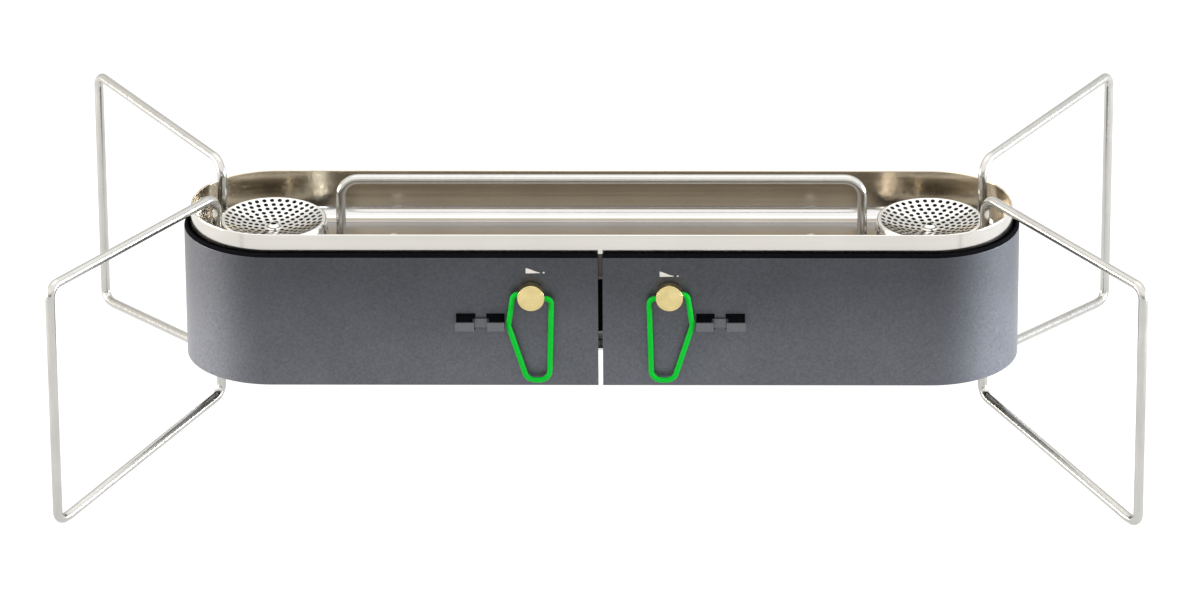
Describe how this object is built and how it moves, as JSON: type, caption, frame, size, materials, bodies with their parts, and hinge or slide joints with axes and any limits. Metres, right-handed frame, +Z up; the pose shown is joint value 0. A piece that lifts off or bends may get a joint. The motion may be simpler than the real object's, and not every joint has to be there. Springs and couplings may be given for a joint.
{
  "type": "folding two burner gas stove",
  "caption": "Compact gas camping stove: a round-ended steel tray with perforated dish burners in a dark shell, on folding wire legs that carry the pans.",
  "frame": {"origin": "middle of the stove on the surface it stands on", "axes": "+X to the right along the stove, +Y to the back, away from the knobs, +Z up"},
  "size_m": [0.5602, 0.2911, 0.1365],
  "materials": {
    "tray_steel": "bright brushed stainless sheet",
    "burner_steel": "bright satin stainless sheet",
    "wire_steel": "bright plated round wire",
    "shell_paint": "satin dark grey coating with a fine grain",
    "dark_steel": "flat black coating",
    "zinc_plate": "zinc plated steel",
    "brass": "turned brass",
    "copper": "drawn copper tube",
    "green_coating": "gloss green coating on wire",
    "white_mark": "printed white mark"
  },
  "bodies": {
    "stove_body": {"tray": "tray_steel", "center_pan_support": "wire_steel", "manifold_block": "brass", "center_bracket": "zinc_plate", "gas_inlet_fitting": "brass", "gas_inlet_nut": "brass", "shell_left": "shell_paint", "support_ferrule_left": "zinc_plate", "leg_bracket_left": "zinc_plate", "burner_head_left": "burner_steel", "burner_cup_left": "zinc_plate", "burner_bridge_left": "zinc_plate", "burner_screw_left": "zinc_plate", "mixing_tube_left": "zinc_plate", "valve_body_left": "brass", "jet_left": "brass", "gas_pipe_left": "copper", "tray_rivet_left": "zinc_plate", "shell_right": "shell_paint", "support_ferrule_right": "zinc_plate", "leg_bracket_right": "zinc_plate", "burner_head_right": "burner_steel", "burner_cup_right": "zinc_plate", "burner_bridge_right": "zinc_plate", "burner_screw_right": "zinc_plate", "mixing_tube_right": "zinc_plate", "valve_body_right": "brass", "jet_right": "brass", "gas_pipe_right": "copper", "tray_rivet_right": "zinc_plate", "leg_clip_front_left": "shell_paint", "clip_plate_front_left": "dark_steel", "shell_bracket_front_left": "zinc_plate", "tray_rivet_front_left": "zinc_plate", "leg_clip_front_right": "shell_paint", "clip_plate_front_right": "dark_steel", "shell_bracket_front_right": "zinc_plate", "tray_rivet_front_right": "zinc_plate", "leg_clip_back_left": "shell_paint", "clip_plate_back_left": "dark_steel", "shell_bracket_back_left": "zinc_plate", "tray_rivet_back_left": "zinc_plate", "leg_clip_back_right": "shell_paint", "clip_plate_back_right": "dark_steel", "shell_bracket_back_right": "zinc_plate", "tray_rivet_back_right": "zinc_plate"},
    "leg_front_left": {"leg_front_left": "wire_steel", "leg_collar_front_left": "zinc_plate"},
    "leg_front_right": {"leg_front_right": "wire_steel", "leg_collar_front_right": "zinc_plate"},
    "leg_back_left": {"leg_back_left": "wire_steel", "leg_collar_back_left": "zinc_plate"},
    "leg_back_right": {"leg_back_right": "wire_steel", "leg_collar_back_right": "zinc_plate"},
    "control_left": {"knob_left": "brass", "valve_spindle_left": "brass"},
    "bail_left": {"knob_bail_left": "green_coating"},
    "control_right": {"knob_right": "brass", "valve_spindle_right": "brass"},
    "bail_right": {"knob_bail_right": "green_coating"}
  },
  "joints": [
    {"name": "leg_swing_front_left", "type": "hinge", "parent": "stove_body", "child": "leg_front_left", "pos_m": [-0.2001, -0.023, 0.134], "axis": [0, 0, 1], "range_deg": [0, 111.9]},
    {"name": "leg_swing_front_right", "type": "hinge", "parent": "stove_body", "child": "leg_front_right", "pos_m": [0.2001, -0.023, 0.134], "axis": [0, 0, 1], "range_deg": [-111.4, 0]},
    {"name": "leg_swing_back_left", "type": "hinge", "parent": "stove_body", "child": "leg_back_left", "pos_m": [-0.2001, 0.023, 0.134], "axis": [0, 0, 1], "range_deg": [-109.9, 0]},
    {"name": "leg_swing_back_right", "type": "hinge", "parent": "stove_body", "child": "leg_back_right", "pos_m": [0.2001, 0.023, 0.134], "axis": [0, 0, 1], "range_deg": [0, 108.9]},
    {"name": "knob_turn_left", "type": "hinge", "parent": "stove_body", "child": "control_left", "pos_m": [-0.036, -0.0506, 0.0892], "axis": [0, -1, 0], "range_deg": [0, 180]},
    {"name": "bail_flip_left", "type": "hinge", "parent": "control_left", "child": "bail_left", "pos_m": [-0.036, -0.0506, 0.0892], "axis": [-0.9869, 0, 0.1616], "range_deg": [0, 100]},
    {"name": "knob_turn_right", "type": "hinge", "parent": "stove_body", "child": "control_right", "pos_m": [0.036, -0.0506, 0.0892], "axis": [0, 1, 0], "range_deg": [0, 180]},
    {"name": "bail_flip_right", "type": "hinge", "parent": "control_right", "child": "bail_right", "pos_m": [0.036, -0.0506, 0.0892], "axis": [-0.9869, 0, -0.1616], "range_deg": [0, 100]}
  ]
}
